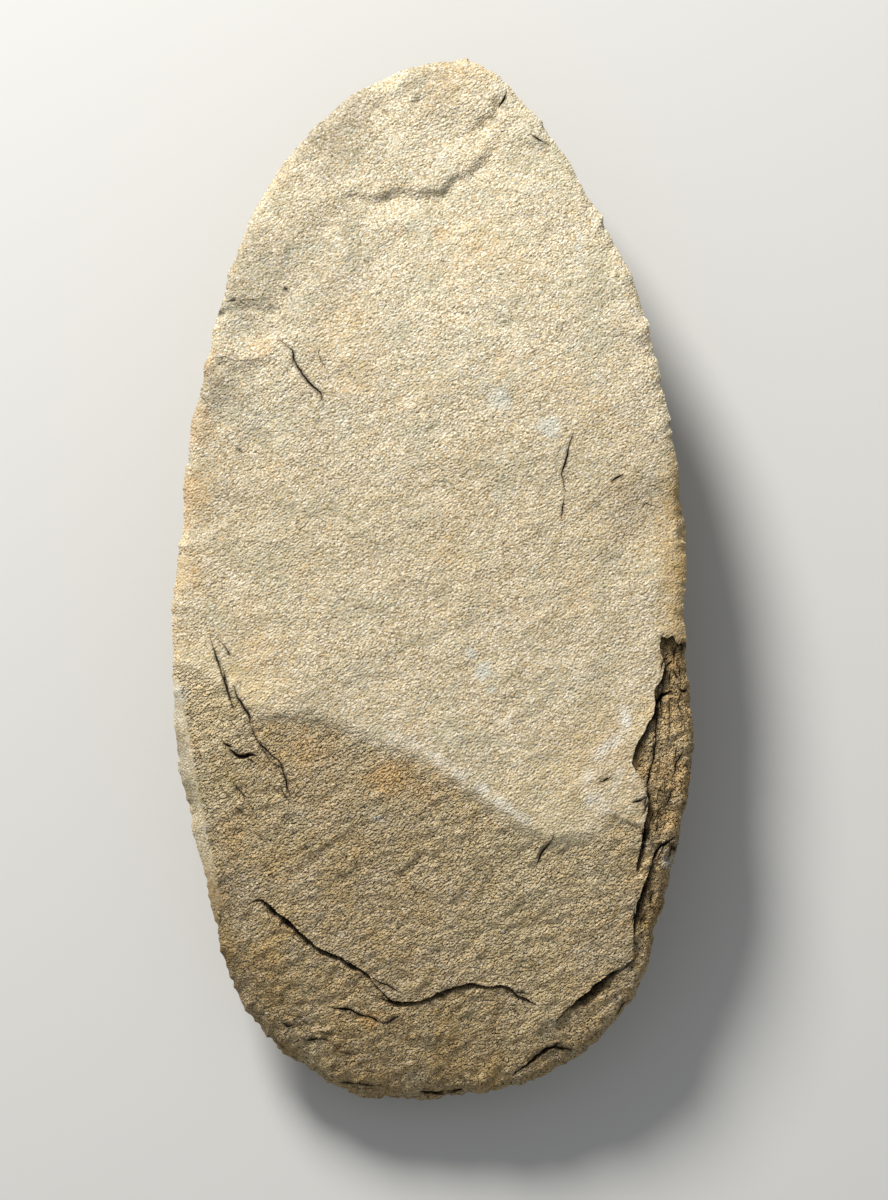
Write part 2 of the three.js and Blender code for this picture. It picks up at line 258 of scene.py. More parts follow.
# Cracks in the face, each point with the crack's width
CRACKS = [
    # Left side of the butt half: a crack along a small flake, and lesser ones at the margin
    [(-0.585, 0.458, 0.1), (-0.537, 0.439, 0.35), (-0.522, 0.414, 0.5), (-0.495, 0.391, 0.6),
     (-0.476, 0.378, 0.5), (-0.430, 0.360, 0.35), (-0.418, 0.338, 0.1)],
    [(-0.441, 0.437, 0.1), (-0.426, 0.420, 0.2), (-0.403, 0.397, 0.1)],
    [(-0.802, 0.531, 0.1), (-0.702, 0.536, 0.2), (-0.599, 0.536, 0.1)],
    [(-0.833, 0.424, 0.1), (-0.795, 0.428, 0.2), (-0.752, 0.420, 0.1)],
    [(-0.741, 0.418, 0.1), (-0.702, 0.420, 0.2), (-0.656, 0.424, 0.1)],
    [(-0.898, 0.361, 0.1), (-0.875, 0.348, 0.3), (-0.856, 0.334, 0.1)],
    # Butt
    [(0.280, 0.931, 0.2), (0.269, 0.918, 0.5), (0.253, 0.905, 0.2)],
    [(0.376, 0.853, 0.1), (0.403, 0.844, 0.3), (0.430, 0.838, 0.1)],
    # Right side of the middle
    [(0.534, 0.279, 0.1), (0.514, 0.250, 0.3), (0.511, 0.237, 0.5), (0.491, 0.203, 0.3),
     (0.507, 0.170, 0.1)],
    [(0.683, 0.190, 0.3), (0.702, 0.198, 0.5), (0.722, 0.204, 0.2)],
    [(0.502, 0.160, 0.1), (0.492, 0.137, 0.3), (0.488, 0.118, 0.1)],
    [(0.795, 0.140, 0.1), (0.814, 0.149, 0.3), (0.841, 0.145, 0.1)],
    # Left side, where a thin layer has lifted beside the bevel
    [(-0.848, -0.101, 0.1), (-0.837, -0.124, 0.2), (-0.821, -0.148, 0.4), (-0.802, -0.177, 0.3),
     (-0.787, -0.204, 0.6), (-0.772, -0.221, 0.35), (-0.764, -0.236, 0.1)],
    [(-0.802, -0.164, 0.1), (-0.791, -0.187, 0.35), (-0.779, -0.202, 0.1)],
    [(-0.768, -0.229, 0.1), (-0.764, -0.236, 0.4), (-0.756, -0.244, 0.1)],
    [(-0.821, -0.106, 0.1), (-0.795, -0.122, 0.2), (-0.779, -0.135, 0.3), (-0.772, -0.143, 0.1)],
    [(-0.760, -0.198, 0.1), (-0.741, -0.221, 0.35), (-0.722, -0.236, 0.4), (-0.704, -0.250, 0.5),
     (-0.695, -0.267, 0.2), (-0.687, -0.288, 0.2), (-0.668, -0.303, 0.35),
     (-0.641, -0.316, 0.4), (-0.614, -0.328, 0.3), (-0.587, -0.339, 0.35),
     (-0.572, -0.358, 0.3), (-0.560, -0.381, 0.35), (-0.541, -0.410, 0.1)],
    [(-0.656, -0.316, 0.1), (-0.622, -0.337, 0.25), (-0.595, -0.351, 0.1)],
    [(-0.580, -0.389, 0.1), (-0.564, -0.408, 0.3), (-0.553, -0.415, 0.1)],
    [(-0.797, -0.303, 0.2), (-0.779, -0.309, 0.7), (-0.768, -0.312, 0.3)],
    [(-0.772, -0.318, 0.3), (-0.756, -0.327, 0.9), (-0.741, -0.330, 1.5), (-0.722, -0.330, 1.7),
     (-0.702, -0.328, 1.3), (-0.676, -0.329, 0.3)],
    [(-0.710, -0.333, 0.2), (-0.695, -0.339, 0.4), (-0.679, -0.343, 0.1)],
    [(-0.760, -0.383, 0.1), (-0.741, -0.396, 0.25), (-0.718, -0.408, 0.35),
     (-0.695, -0.410, 0.1)],
    # Right side, the splits between the torn layers
    [(0.910, -0.208, 0.4), (0.873, -0.216, 0.9), (0.855, -0.230, 0.7)],
    [(0.856, -0.242, 0.5), (0.852, -0.267, 0.35), (0.852, -0.293, 0.3), (0.845, -0.320, 0.4),
     (0.841, -0.339, 0.5), (0.829, -0.358, 0.6), (0.821, -0.381, 0.5), (0.818, -0.396, 0.3),
     (0.823, -0.411, 0.3)],
    [(0.768, -0.417, 0.3), (0.783, -0.417, 0.7), (0.798, -0.414, 0.4), (0.818, -0.408, 0.2)],
    [(0.917, -0.489, 0.4), (0.883, -0.499, 0.7), (0.856, -0.511, 0.8), (0.839, -0.528, 0.5)],
    [(0.956, -0.320, 0.2), (0.933, -0.341, 0.5), (0.917, -0.372, 0.2)],
    [(0.929, -0.389, 0.15), (0.894, -0.419, 0.4), (0.887, -0.427, 0.1)],
    [(0.921, -0.173, 0.3), (0.929, -0.179, 0.6), (0.937, -0.187, 0.2)],
    [(0.944, -0.206, 0.4), (0.956, -0.209, 0.7), (0.967, -0.206, 0.3)],
    # Below the bit scar's edge
    [(0.637, -0.379, 0.15), (0.656, -0.375, 0.35), (0.676, -0.370, 0.15)],
    [(0.464, -0.471, 0.1), (0.451, -0.491, 0.4), (0.426, -0.508, 0.5), (0.407, -0.524, 0.4),
     (0.392, -0.541, 0.1)],
    # Round the bit
    [(-0.226, -0.757, 0.3), (-0.196, -0.766, 0.4), (-0.165, -0.772, 0.3), (-0.130, -0.783, 0.1)],
    [(-0.225, -0.793, 0.1), (-0.199, -0.797, 0.3), (-0.165, -0.804, 0.4), (-0.130, -0.810, 0.2)],
    [(0.303, -0.778, 0.1), (0.334, -0.784, 0.3), (0.372, -0.787, 0.1)],
    [(0.752, -0.732, 0.1), (0.722, -0.742, 0.4), (0.687, -0.753, 0.2)],
    [(0.530, -0.896, 0.3), (0.499, -0.894, 0.8), (0.468, -0.890, 1.0), (0.434, -0.896, 1.0),
     (0.407, -0.908, 0.7), (0.392, -0.913, 0.8), (0.357, -0.927, 0.6), (0.330, -0.936, 0.3),
     (0.307, -0.948, 0.1)],
    [(0.499, -0.879, 0.1), (0.472, -0.887, 0.5), (0.449, -0.896, 0.3)],
    [(-0.388, -0.814, 0.3), (-0.353, -0.816, 0.6), (-0.319, -0.818, 0.5), (-0.288, -0.826, 0.5),
     (-0.257, -0.831, 0.4), (-0.223, -0.837, 0.5), (-0.211, -0.841, 0.2)],
    [(-0.188, -0.847, 0.1), (-0.165, -0.841, 0.4), (-0.146, -0.833, 0.3), (-0.127, -0.829, 0.1)],
    [(0.699, -0.839, 0.1), (0.714, -0.822, 0.4), (0.729, -0.808, 0.3), (0.756, -0.799, 0.1)],
    [(-0.583, -0.843, 0.2), (-0.557, -0.852, 0.5), (-0.537, -0.850, 0.2)],
    [(-0.507, -0.877, 0.1), (-0.464, -0.879, 0.4), (-0.426, -0.875, 0.3), (-0.403, -0.879, 0.1)],
    [(-0.361, -0.962, 0.1), (-0.319, -0.964, 0.4), (-0.257, -0.966, 0.4), (-0.196, -0.968, 0.1)],
    [(-0.042, -0.980, 0.4), (-0.004, -0.982, 0.9), (0.050, -0.982, 1.0), (0.107, -0.976, 0.4)],
]


@dataclass
class TornPatch:
    """A patch of the face with short tears scattered over it.

    Its middle is a place, its half length and half width are millimetres, and its turn is in
    degrees. The tears turn with it, give or take their spread, and have a greatest length and
    width.
    """
    middle: tuple
    half_length: float
    half_width: float
    turn: float
    spread: float
    count: int
    length: float
    width: float
    seed: int


TORN_PATCHES = [
    TornPatch((0.89, -0.30), 19, 2.8, 84, 16, 30, 5, 0.45, 2203),
    TornPatch((0.925, -0.135), 2.6, 2.2, 60, 80, 10, 2.2, 0.5, 3767),
    TornPatch((0.86, -0.57), 9, 2.4, 72, 14, 10, 5, 0.4, 6079),
    TornPatch((-0.42, -0.90), 14, 5, -25, 25, 14, 4, 0.3, 7331),
    TornPatch((-0.66, -0.42), 8, 5, -55, 25, 12, 3.5, 0.25, 4409),
]

# The least length and width of a tear and the width of its ends, as shares of what they are at most
TEAR_LEAST_LENGTH, TEAR_LEAST_WIDTH, TEAR_TIP = 0.3, 0.4, 0.25

# How crooked a crack or a step is beyond its points, as depth and length. Its noise is a layer of
# its own, counted on from the first.
CRACK_JAGS = [(0.26, 2.2), (0.15, 0.8)]
FIRST_STEP_LAYER, FIRST_CRACK_LAYER = 10, 40
# How much the width changes on the way, as strength, length and layer of the noise, how steep the
# sides are, and how far away a line still matters
WIDTH_CHANGES = [(0.6, 2.0, 50.5)]
CRACK_STEEPNESS, NARROWEST_CRACK = 1.6, 0.05
SCAR_REACH, CRACK_REACH = 8, 4.0
# How far the marks of a scar fade in from its step, as a share of the step's wall, and how thin
# the layer is over which they fade where it has no step
FADE_SHARE, THIN_LAYER = 1.5, 0.3
# Painted shade, with some dirt, in open steps and cracks, dark even where light reaches in: how
# far past them it lies, and how dark it is for their width
STEP_DIRT_AND_SHADE, STEP_DARKNESS = 0.35, 1.6
CRACK_DIRT_AND_SHADE, CRACK_DARKNESS = 0.26, 2.2

# Soft hollows left by thin flakes: middle, half length and half width in millimetres,
# turn in degrees from across the stone, and depth
HOLLOWS = [
    ((0.80, 0.10), 13, 8, 80, 1.0),
    ((0.925, -0.135), 3.2, 2.6, 0, 0.5),
    ((-0.72, 0.47), 9, 5, 10, 0.5),
    ((-0.80, 0.33), 9, 4, 70, 0.4),
    ((0.70, 0.50), 14, 5, 118, 0.4),
    ((-0.47, 0.62), 16, 6, 60, 0.5),
    ((-0.36, 0.39), 6, 3.5, 140, 0.45),
    ((0.10, 0.86), 11, 6, 0, 0.5),
    ((-0.40, 0.68), 5, 3.5, 60, 0.5),
    ((0.248, 0.905), 2.4, 1.3, 100, 1.1),
    ((0.20, 0.87), 5, 2.4, 35, 0.5),
    ((-0.065, 0.914), 1.7, 0.9, 10, 0.5),
    ((-0.764, 0.533), 1.0, 0.7, 0, 0.5),
    ((-0.802, 0.510), 1.4, 0.9, 60, 0.8),
    ((-0.557, 0.554), 0.8, 0.5, 140, 0.6),
    ((0.922, -0.507), 1.5, 0.9, 150, 1.5),
    ((-0.62, -0.40), 9, 5, 120, 0.4),
    ((-0.20, -0.90), 16, 6, 0, 0.4),
    ((-0.50, -0.82), 10, 6, 140, 0.5),
    ((0.45, -0.92), 9, 4, 20, 0.5),
    ((0.90, -0.40), 12, 3, 95, 0.5),
    ((0.88, -0.60), 12, 4, 75, 0.5),
]

# Arcs where a thin skin of the face ends in a soft step: the line, and how deep the step is. Where
# this is below 0 the step climbs.
SOFT_STEPS = [
    [(-0.395, 0.737, 0), (-0.311, 0.748, 1.0), (-0.215, 0.739, 1.2), (-0.127, 0.754, 1.3),
     (-0.065, 0.748, 1.3), (-0.027, 0.751, 1.5), (0.027, 0.753, 1.5), (0.065, 0.775, 1.5),
     (0.119, 0.783, 1.3), (0.173, 0.815, 1.0), (0.226, 0.849, 0.7), (0.250, 0.891, 0)],
    [(0.303, 0.855, 0), (0.342, 0.849, 0.35), (0.392, 0.844, 0.6), (0.434, 0.836, 0.5),
     (0.461, 0.838, 0)],
    [(-0.84, 0.520, 0.3), (-0.795, 0.531, 0.7), (-0.756, 0.536, 0.9), (-0.695, 0.538, 0.8),
     (-0.626, 0.529, 0.6), (-0.541, 0.529, 0)],
    [(-0.87, 0.405, 0.3), (-0.833, 0.424, 0.7), (-0.795, 0.428, 0.9), (-0.746, 0.417, 0.7),
     (-0.702, 0.420, 0.8), (-0.656, 0.424, 0.6), (-0.56, 0.44, 0)],
    [(-0.30, 0.640, 0), (-0.046, 0.527, -0.35), (0.219, 0.491, -0.35), (0.480, 0.447, -0.3),
     (0.560, 0.430, 0)],
    [(0.60, 0.495, 0), (0.737, 0.481, 0.4), (0.79, 0.470, 0.6), (0.833, 0.455, 0.6),
     (0.87, 0.44, 0.5)],
]
SOFT_STEP_WALL, SOFT_STEP_REACH, SOFT_STEP_LIMIT = 2.3, 6.0, 24
SOFT_STEP_CHANGES = [(0.5, 4, 26)]

# Relief of the stone itself: depth, length and width of its forms in millimetres, their turn in
# degrees, and how much deeper they are on torn scar floors. The grain climbs to the right.
RELIEF = [
    (0.60, 26, 20, 60, 0),
    (0.52, 9, 6.5, 35, 0.2),
    (0.30, 4.0, 2.1, 36, 1.5),
    (0.17, 2.0, 1.2, 34, 2.4),
    (0.10, 0.95, 0.95, 0, 2.6),
]
GRAIN_ANGLE = math.radians(35)
# Torn scar floors rise in short steep terraces: how rough a floor has them, how many there are,
# and where in a terrace its rise is
TEAR_DEPTH, TEAR_LENGTH, TEAR_WIDTH, TEAR_LAYER = 0.6, 8, 1.7, 11
TEAR_ANGLE = math.radians(76)
TEAR_CROOKS = [(0.5, 2.72, 12)]
TERRACED_ROUGHNESS = (0.8, 1.0)
TERRACES, TERRACE_RISE, TERRACE_SHARE = 2.2, (0.35, 0.65), 0.25
# The relief fades out towards the rim over these distances
FACE_EASE, BACK_EASE, BACK_FINE_REACH = 1.0, 3, 2.5
# The back's relief: depth, length and layer of the noise
BACK_RELIEF = [(0.5, 14, 31), (0.3, 3.2, 32)]
BACK_WEATHERING, BACK_ROUGHNESS = 0.4, 0.8

# How ragged the edges of spots are, and from which share of the radius to which they fade
SPOT_RAGGEDNESS = [(0.55, 2.4, 21), (0.45, 0.9, 22)]
SPOT_EDGE = (0.35, 1.15)

# Stains, mineral spots and spots of painted shade: place, radius in millimetres and strength
RUST_SPOTS = [
    ((-0.173, -0.368), 4.6, 0.9), ((-0.491, -0.326), 5, 0.5), ((0.031, 0.662), 2.0, 0.6),
    ((0.280, 0.418), 3.0, 0.4), ((-0.656, 0.451), 3.0, 0.5), ((-0.242, -0.839), 2.4, 0.8),
    ((-0.93, 0.30), 6, 0.6), ((-0.95, 0.16), 6, 0.6), ((-0.90, 0.42), 5, 0.5),
    ((-0.95, 0.02), 5, 0.5), ((0.92, -0.25), 6, 0.6), ((0.90, -0.36), 6, 0.6),
    ((0.87, -0.46), 5, 0.5), ((0.84, -0.57), 6, 0.4), ((0.93, -0.16), 4, 0.5),
]
CHALK_SPOTS = [
    ((0.560, 0.655), 0.9, 0.9), ((0.560, 0.635), 0.9, 0.9), ((0.560, 0.615), 0.8, 0.8),
    ((0.450, 0.292), 2.8, 0.85), ((0.265, 0.346), 2.6, 0.7), ((0.192, -0.168), 2.2, 0.8),
    ((0.146, -0.137), 1.2, 0.8), ((0.219, -0.204), 1.2, 0.8), ((-0.215, -0.448), 0.6, 1.0),
    ((-0.979, -0.211), 3.0, 0.6), ((0.902, -0.535), 1.6, 0.9), ((0.25, 0.16), 2.0, 0.3),
    ((-0.99, -0.25), 3.5, 0.4), ((-0.96, -0.34), 3.5, 0.25),
]
# Painted shade in pits, small hollows and the right notch, on slopes high on the left and at the
# butt, and a painted shadow low on the left; the few on the left bevel are its darker tone
DARK_AND_SHADE_SPOTS = [
    ((-0.741, 0.254), 0.55, 0.9), ((-0.695, 0.235), 0.4, 0.6), ((-0.557, 0.554), 0.5, 0.9),
    ((-0.802, 0.510), 0.8, 0.7), ((-0.764, 0.533), 0.6, 0.6), ((0.276, 0.922), 0.45, 1.0),
    ((0.922, -0.507), 1.0, 1.0), ((-0.065, 0.914), 1.1, 0.35), ((0.92, -0.125), 3.2, 0.35),
    ((0.895, -0.112), 1.3, 0.6), ((0.955, -0.118), 1.3, 0.6), ((-0.45, 0.62), 16, 0.16),
    ((-0.42, 0.35), 12, 0.08), ((0.85, 0.16), 10, 0.12), ((-0.70, 0.58), 13, 0.29),
    ((-0.83, 0.36), 11, 0.29), ((-0.40, 0.88), 13, 0.31), ((0.0, 0.96), 9, 0.18),
    ((-0.86, 0.18), 11, 0.12), ((-0.99, -0.23), 3, 0.3), ((-0.985, -0.31), 4, 0.4),
    ((-0.96, -0.40), 4, 0.4), ((-0.83, -0.62), 9, 0.26), ((-0.80, -0.74), 8, 0.35),
    ((-0.64, -0.86), 8, 0.15),
]

# Where the browned stone is paler, partly as paler stone and partly as painted light on scar
# floors and margins that lie in shade, and the share of the brown that is gone there
PALE_AND_LIT_SPOTS = [
    ((0.45, -0.50), 20, 0.75), ((0.08, -0.52), 15, 0.35), ((0.28, -0.68), 14, 0.4),
    ((0.62, -0.70), 9, 0.3), ((-0.86, -0.22), 11, 0.85), ((-0.70, -0.21), 6, 0.7),
    ((0.40, -0.66), 9, 0.6), ((0.38, -0.84), 8, 0.6), ((-0.46, -0.93), 5, 0.6),
    ((0.72, -0.84), 5, 0.6), ((-0.98, -0.28), 4, 0.5), ((-0.96, -0.38), 4, 0.4),
    ((-0.93, -0.48), 4, 0.4), ((0.90, -0.30), 8, 0.6), ((0.86, -0.50), 6, 0.5),
    ((0.82, -0.27), 5, 0.7), ((-0.88, -0.40), 8, 0.7), ((-0.91, -0.52), 6, 0.5),
    ((0.46, -0.77), 12, 0.4),
]
PALE_AND_LIT_SHARE = 0.6

# Thin pale veins, each point with its strength
VEINS = [
    [(0.733, -0.238, 0.8), (0.733, -0.280, 1.1), (0.687, -0.305, 1.0), (0.649, -0.318, 1.1),
     (0.618, -0.347, 1.0), (0.595, -0.374, 0.9), (0.600, -0.415, 0.8)],
    [(-0.276, -0.266, 0.0), (-0.05, -0.313, 0.5), (0.138, -0.376, 0.6), (0.207, -0.397, 0.65),
     (0.326, -0.443, 0.75), (0.38, -0.457, 0.2)],
    [(0.583, -0.466, 0.3), (0.656, -0.424, 0.5), (0.718, -0.355, 0.3)],
    [(0.641, -0.405, 0.7), (0.656, -0.431, 0.7)],
]
VEIN_WIDTH = 1.0
VEIN_FILL, VEIN_BREAKS = 0.55, [(0.9, 3.0, 23)]

# Where the stone is brown besides its scar floors: low on the right margin, in the lower half,
# towards the bit and on the lower left shoulder. Besides iron staining, this brown is painted
# shade, darker down the lower half, towards the bit and low on the right margin, and a painted
# shadow on the lower left shoulder. Strengths, and spans to a side and towards the bit.
BROWN_MARGIN, MARGIN_ACROSS, MARGIN_ALONG = 0.7, (0.80, 0.95), (-0.34, -0.14)
BROWN_HALF, HALF_ALONG = 0.13, (-0.35, -0.15)
BROWN_BIT, BIT_ALONG = 0.7, (0.4, 1.0)
BROWN_SHOULDER, BROWN_ACROSS, BROWN_ALONG = 0.8, (0.55, 0.85), (0.45, 0.65)
BROWN_UNEVENNESS = [(0.5, 7, 24), (0.3, 2.2, 25)]

# The sandstone's own grain, in millimetres: the size of its sand grains, of the drifts between
# them and of its ridges, and the depth of grains and ridges. On torn floors the grain is deeper.
GRAIN_SIZE, SAND_DEPTH = 0.45, 0.14
DRIFT_SIZE, DRIFT_ROUGHNESS = 0.36, 0.6
RIDGE_SIZE, RIDGE_DEPTH, RIDGE_STRETCH = 0.42, 0.3, 1.5
TORN_GAIN = 2.8
PATTERN_DETAIL = 1.0

# The dull and the pale drifts, and where on the pattern paleness begins and is full
DULL_SAND, PALE_SAND = "#948363", "#ece0c2"
PALE_BEGINS, PALE_FULL = 0.3, 0.72

# Its tints, greenish, pale and warm clouds: size in millimetres, shift of the pattern in metres,
# where on the pattern the tint begins and is full, its strength, and its colour
CLOUD_TINTS = [
    (3.5, 0.02, 0.50, 0.72, 0.35, "#9f9a7c"),
    (9, 0.0, 0.45, 0.70, 0.42, "#a9a68c"),
    (5, 0.08, 0.52, 0.74, 0.30, "#e6dcc4"),
    (24, 0.05, 0.50, 0.72, 0.32, "#cdb080"),
]
# Rusty, dark, bluish and white grains: the channel that picks them, where they begin and are full,
# their strength, and their colour
GRAIN_TINTS = [
    ("Red", 0.82, 0.92, 0.3, "#c79c5e"),
    ("Green", 0.84, 0.92, 0.45, "#75674a"),
    ("Blue", 0.82, 0.92, 0.35, "#b3b6b4"),
    ("Blue", 0.16, 0.06, 0.50, "#f1ead9"),
]

# How unevenly the brown of iron and of painted shade lies on the grains: gain on the drifts,
# and the least share
IRON_GAIN, IRON_LEAST = 1.6, 0.2
STONE_ROUGHNESS, STONE_GLEAM = 0.95, 0.3

# Its stains: where they are, their strength, how they mix in, and their colour
STONE_STAINS = [
    # Iron browning, and also painted shade towards the bit, over the lower half, on the right flake
    # and low on the left
    ("weathering_and_shade", 0.52, "MULTIPLY", "#b8953f"),
    ("weathering_and_shade", 0.40, "MIX", "#b88f38"),
    # Paler stone, and painted light on scar floors and margins that lie in shade
    ("pale_and_lit", 0.26, "MIX", "#e0c78c"),
    ("rust", 0.45, "MIX", "#cfa05f"),
    ("chalk", 0.6, "MIX", "#c3c9c2"),
    ("vein", 0.8, "MIX", "#e9e6da"),
    # Painted shade with some dirt: darkens cracks, open steps, pits and shaded patches
    ("shade_and_dirt", 0.97, "MULTIPLY", "#33261a"),
]


def smoothed(start, end, values):
    """0 below start and 1 above end, with a soft rise between them."""
    along = np.clip((values - start) / (end - start), 0, 1)
    return along * along * (3 - 2 * along)


def placed(points):
    """Rows of shares as millimetres on the stone, with whatever follows them kept."""
    rows = np.array(points, dtype=float)
    rows[:, 0] = MIDDLE[0] + rows[:, 0] * HALF_WIDTH
    rows[:, 1] = MIDDLE[1] + rows[:, 1] * HALF_LENGTH
    return rows


def shares(x, y):
    """Millimetres on the stone as shares across and along it, from its middle."""
    return (x - MIDDLE[0]) / HALF_WIDTH, (y - MIDDLE[1]) / HALF_LENGTH


def left_of(line):
    """A step of 1 mm to the left at each point of a line."""
    step = np.gradient(line[:, :2], axis=0)
    return np.column_stack([-step[:, 1], step[:, 0]]) / np.hypot(*step.T)[:, None]


def curve_span(before, start, end, after, steps):
    """Points on the centripetal Catmull-Rom curve from start towards end."""
    gap_before, gap, gap_after = (
        math.sqrt(max(TINY, np.hypot(*(b - a)[:2])))
        for a, b in ((before, start), (start, end), (end, after))
    )
    leave = ((start - before) / gap_before - (end - before) / (gap_before + gap)
             + (end - start) / gap) * gap
    arrive = ((end - start) / gap - (after - start) / (gap + gap_after)
              + (after - end) / gap_after) * gap
    t = np.linspace(0, 1, steps, endpoint=False)[:, None]
    return ((2 * t**3 - 3 * t**2 + 1) * start + (t**3 - 2 * t**2 + t) * leave
            + (3 * t**2 - 2 * t**3) * end + (t**3 - t**2) * arrive)


def evenly(line, spacing):
    """The line in points about one spacing apart."""
    length = np.append(0, np.cumsum(np.hypot(*np.diff(line[:, :2], axis=0).T)))
    count = max(2, round(length[-1] / spacing))
    wanted = np.linspace(0, length[-1], count + 1)
    return np.column_stack([np.interp(wanted, length, column) for column in line.T])


def curve_through(rows, spacing, closed=False):
    """A smooth line through the rows, in points about one spacing apart."""
    if closed:
        control = np.vstack([rows[-1:], rows, rows[:2]])
    else:
        control = np.vstack([2 * rows[:1] - rows[1:2], rows, 2 * rows[-1:] - rows[-2:-1]])
    steps = 24
    spans = [curve_span(*control[i:i + 4], steps) for i in range(len(control) - 3)]
    even = evenly(np.vstack(spans + [control[-2:-1]]), spacing)
    return even[:-1] if closed else even


def noise_at(x, y, length, layer, width=None, angle=0.0):
    """Smooth noise from -1 to 1 at points in millimetres, as long and as wide as given."""
    along = (x * math.cos(angle) + y * math.sin(angle)) / length
    across = (y * math.cos(angle) - x * math.sin(angle)) / (width or length)
    return np.array([noise.noise((u, v, layer)) for u, v in zip(along, across)])


def layered(x, y, rows):
    """Several noises added up, each with its strength, its length and its layer."""
    return sum(strength * noise_at(x, y, length, layer) for strength, length, layer in rows)


def seeded_numbers(seed):
    """Repeatable random numbers from 0 to 1."""
    multiplier = 16807
    modulus = 2147483647
    state = seed
    while True:
        state = state * multiplier % modulus
        yield state / modulus


def flake_depths(row, distance, perimeter):
    """How deep a row of flakes is at distances round the rim, from 0 to 1."""
    numbers = seeded_numbers(row.seed)
    count = round(perimeter / row.width)
    weights = np.array([1 + row.spread * (next(numbers) - 0.5) for _ in range(count)])
    depths = np.array([1 - row.spread * next(numbers) for _ in range(count)])
    widths = perimeter * weights / weights.sum()
    ends = np.cumsum(widths)
    flake = np.minimum(np.searchsorted(ends, distance), count - 1)
    along = 1 - 2 * (ends[flake] - distance) / widths[flake]
    return depths[flake] * np.maximum(0, 1 - along**2)


def chipped_rim():
    """The rim seen from above, and for each of its points how deep every flake row is there."""
    points = curve_through(placed(OUTLINE), RIM_STEP, closed=True)
    step = np.roll(points, -1, axis=0) - np.roll(points, 1, axis=0)
    inward = np.column_stack([step[:, 1], -step[:, 0]]) / np.hypot(*step.T)[:, None]
    length = np.append(0, np.cumsum(np.hypot(*np.diff(points, axis=0).T)))
    perimeter = length[-1] + np.hypot(*(points[0] - points[-1]))
    along = shares(*points.T)[1]
    raggedness = 1 + RAGGEDNESS * smoothed(*RAGGED_SPAN, -along)
    depths = {}
    for row in FACE_ROWS + BACK_ROWS:
        depths[row.seed] = flake_depths(row, length, perimeter)
        strength = raggedness if row.width < FACE_ROWS[0].width else 1
        points = points + inward * (row.bite * strength * depths[row.seed])[:, None]
    box_low, box_high = points.min(axis=0), points.max(axis=0)
    fitted = LOW[:2] + (points - box_low) / (box_high - box_low) * (HIGH - LOW)[:2]
    return fitted, depths


RIM, RIM_FLAKES = chipped_rim()
RIM_ANGLE = np.arctan2(*(RIM - MIDDLE[:2]).T[::-1])
RIM_RADIUS = np.hypot(*(RIM - MIDDLE[:2]).T)


def at_the_rim(x, y, values):
    """Values known at the rim's points, read off in the direction of each point from the middle."""
    order = np.argsort(RIM_ANGLE)
    angle = np.arctan2(y - MIDDLE[1], x - MIDDLE[0])
    return np.interp(angle, RIM_ANGLE[order], np.asarray(values)[order], period=2 * math.pi)


def way_out(x, y):
    """Each point's share of the way out to the rim, and its distance in from the rim."""
    radius = at_the_rim(x, y, RIM_RADIUS)
    reached = np.hypot(x - MIDDLE[0], y - MIDDLE[1])
    return np.minimum(1, reached / radius), np.maximum(0, radius - reached)


def bend(distance, start):
    """A level line that bends down softly after its start."""
    past = np.maximum(0, distance - start)
    return np.where(past < BEND_SOFTNESS, past**2 / (2 * BEND_SOFTNESS), past - BEND_SOFTNESS / 2)


def unscarred_face(x, y):
    """The height of the split face before its scars."""
    inset = way_out(x, y)[1]
    across, along = shares(x, y)
    fall = (BUTT_SLOPE * bend(along, BUTT_BEND) + BIT_SLOPE * bend(-along, BIT_BEND)
            + EDGE_SLOPE * bend(-along, EDGE_BEND))
    height = THICKNESS - HALF_LENGTH * fall - CROWN * across**2
    roll = BUTT_ROLL + (BIT_ROLL - BUTT_ROLL) * smoothed(*ROLL_SPAN, -along)
    height -= roll * np.maximum(0, 1 - inset / ROLL_REACH)**2
    low_left = smoothed(*SHOULDER_ACROSS, -across) * smoothed(*SHOULDER_ALONG, -along)
    height -= SHOULDER_DEPTH * low_left * np.maximum(0, 1 - inset / SHOULDER_REACH)**2
    for row in FACE_ROWS:
        in_flake = np.maximum(0, 1 - inset / row.start)
        height -= row.depth * at_the_rim(x, y, RIM_FLAKES[row.seed]) * in_flake**2
    return height


def nearest(line, x, y, reach=CRACK_REACH):
    """For each point, how far the line is, the way to it, and the line's last value there.

    Points further than the reach count as infinitely far.
    """
    distance = np.full(len(x), np.inf)
    way = np.zeros((len(x), 2))
    value = np.zeros(len(x))
    low, high = line[:, :2].min(axis=0) - reach, line[:, :2].max(axis=0) + reach
    near = np.nonzero((x > low[0]) & (x < high[0]) & (y > low[1]) & (y < high[1]))[0]
    for start, end in zip(line[:-1], line[1:]):
        local = near[(np.abs(x[near] - start[0]) < reach) & (np.abs(y[near] - start[1]) < reach)]
        step = end[:2] - start[:2]
        from_start = np.column_stack([x[local], y[local]]) - start[:2]
        share = np.clip(from_start @ step / (step @ step), 0, 1)
        to_line = share[:, None] * step - from_start
        length = np.hypot(*to_line.T)
        closer = length < distance[local]
        chosen = local[closer]
        distance[chosen] = length[closer]
        way[chosen] = to_line[closer]
        value[chosen] = start[-1] + share[closer] * (end[-1] - start[-1])
    return distance, way, value


def is_inside(polygon, x, y):
    """Which points lie inside a closed polygon."""
    inside = np.zeros(len(x), dtype=bool)
    for start, end in zip(np.roll(polygon, 1, axis=0), polygon):
        crosses = (start[1] > y) != (end[1] > y)
        rise = end[1] - start[1] or TINY
        inside ^= crosses & (x < start[0] + (end[0] - start[0]) * (y - start[1]) / rise)
    return inside


